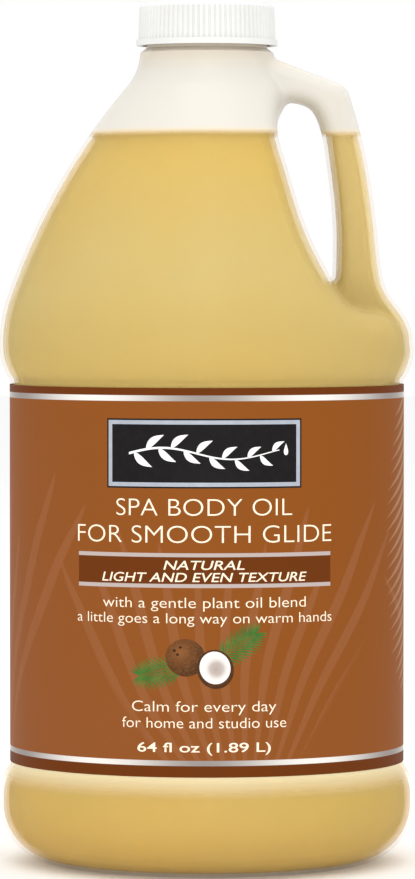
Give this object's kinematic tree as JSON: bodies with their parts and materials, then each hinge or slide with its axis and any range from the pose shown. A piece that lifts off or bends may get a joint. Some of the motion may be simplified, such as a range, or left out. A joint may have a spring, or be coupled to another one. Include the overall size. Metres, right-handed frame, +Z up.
{
  "type": "handled oil jug with screw cap",
  "caption": "Round translucent plastic jug with a moulded-in hollow handle, ribbed white screw cap, wrap label and golden massage oil inside.",
  "frame": {"origin": "on the jug's axis at the plane it stands on", "axes": "+Z up through the mouth; +X towards the handle; the middle of the label's front faces -Y"},
  "size_m": [0.12, 0.12, 0.2482],
  "materials": {
    "natural_polyethylene": "satin",
    "oil": "gloss",
    "label_film": "satin",
    "white_polypropylene": "satin",
    "liner_foam": "matte"
  },
  "bodies": {
    "jug": {"jug_shell": "natural_polyethylene", "oil_fill": "oil", "wrap_label": "label_film"},
    "liner": {"cap_liner": "liner_foam"},
    "cap": {"screw_cap": "white_polypropylene"}
  },
  "joints": [
    {"name": "cap_lift", "type": "slide", "parent": "jug", "child": "liner", "axis": [0, 0, 1], "range_m": [0, 0.01694]},
    {"name": "cap_turn", "type": "hinge", "parent": "liner", "child": "cap", "pos_m": [0, 0, 0.242], "axis": [0, 0, 1], "range_deg": [0, 1440]}
  ],
  "couplings": [
    {"joint": "cap_lift", "follows": "cap_turn", "m_per_rad": 0.00067376}
  ]
}
